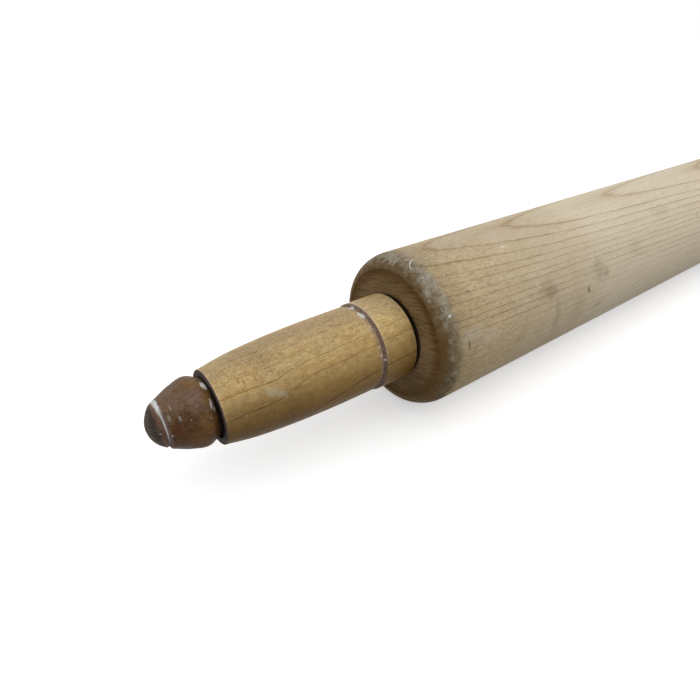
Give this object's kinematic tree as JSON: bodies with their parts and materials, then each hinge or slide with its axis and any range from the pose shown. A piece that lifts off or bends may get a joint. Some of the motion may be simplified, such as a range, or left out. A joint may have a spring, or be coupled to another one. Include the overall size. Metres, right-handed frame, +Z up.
{
  "type": "rolling pin with turning handles",
  "caption": "Rolling pin: a round-ended maple barrel on a steel through rod, grooved lacquered handles that turn on it, and dark acorn-shaped end buttons.",
  "frame": {"origin": "the middle of the barrel, on the pin's long axis", "axes": "+X along the long axis from the left handle to the right handle, +Z up, so the pin lies on its barrel at Z = -35 mm"},
  "size_m": [0.596, 0.07, 0.07],
  "materials": {
    "barrel_maple": "bare, worn",
    "handle_maple": "satin lacquer",
    "button_hardwood": "low satin",
    "rod_steel": "ground",
    "bush_brass": "dull, turned"
  },
  "bodies": {
    "barrel": {"barrel": "barrel_maple", "left_barrel_bush": "bush_brass", "right_barrel_bush": "bush_brass"},
    "axle": {"axle_rod": "rod_steel", "left_end_washer": "rod_steel", "right_end_washer": "rod_steel", "left_button_insert": "bush_brass", "right_button_insert": "bush_brass", "left_end_button": "button_hardwood", "right_end_button": "button_hardwood"},
    "left_handle": {"left_handle": "handle_maple"},
    "right_handle": {"right_handle": "handle_maple"}
  },
  "joints": [
    {"name": "axle_spin", "type": "hinge", "parent": "barrel", "child": "axle", "pos_m": [0, 0, 0], "axis": [1, 0, 0], "continuous": true},
    {"name": "left_handle_spin", "type": "hinge", "parent": "axle", "child": "left_handle", "pos_m": [-0.23385, 0, 0], "axis": [1, 0, 0], "continuous": true},
    {"name": "right_handle_spin", "type": "hinge", "parent": "axle", "child": "right_handle", "pos_m": [0.23385, 0, 0], "axis": [1, 0, 0], "continuous": true}
  ]
}
